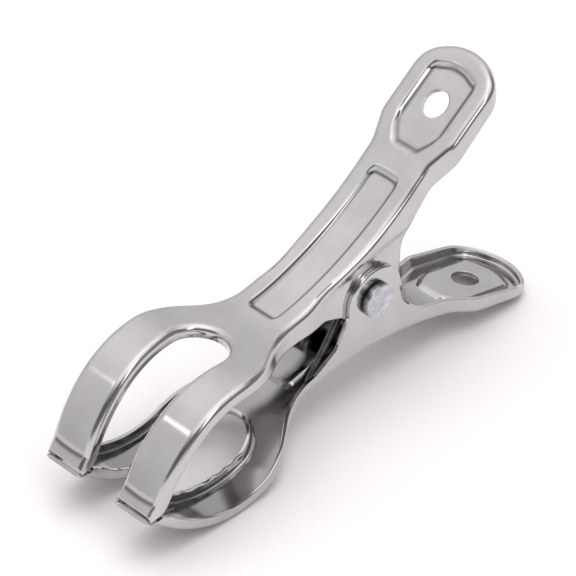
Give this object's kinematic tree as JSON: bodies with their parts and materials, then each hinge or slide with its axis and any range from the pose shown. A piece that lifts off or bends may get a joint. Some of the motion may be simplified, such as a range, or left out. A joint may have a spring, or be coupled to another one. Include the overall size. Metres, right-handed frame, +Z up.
{
  "type": "bag clip",
  "caption": "Sprung pressed-steel bag clip: hollow forked jaws that meet at their lips, two ear plates on a rivet, and finger pads with hanging holes.",
  "frame": {"origin": "bottom centre of the closed clip's bounding box, on the table it lies on", "axes": "+X along the clip from the jaw tips to the finger pads, +Y along the hinge rivet, +Z up"},
  "size_m": [0.125, 0.0342, 0.0669],
  "materials": {
    "pressed_stainless": "bright rolled stainless sheet, pressed and tumbled",
    "rivet_steel": "headed plain steel, slightly mottled",
    "spring_wire": "drawn spring wire"
  },
  "bodies": {
    "lower_arm": {"lower_arm": "pressed_stainless", "pivot_rivet": "rivet_steel", "torsion_spring": "spring_wire"},
    "upper_arm": {"upper_arm": "pressed_stainless"}
  },
  "joints": [
    {"name": "jaw_hinge", "type": "hinge", "parent": "lower_arm", "child": "upper_arm", "pos_m": [0.01163, 0, 0.02563], "axis": [0, 1, 0], "range_deg": [0, 62], "stiffness_Nm_per_rad": 0.05, "springref_deg": -11.46, "deforming": ["torsion_spring"]}
  ]
}
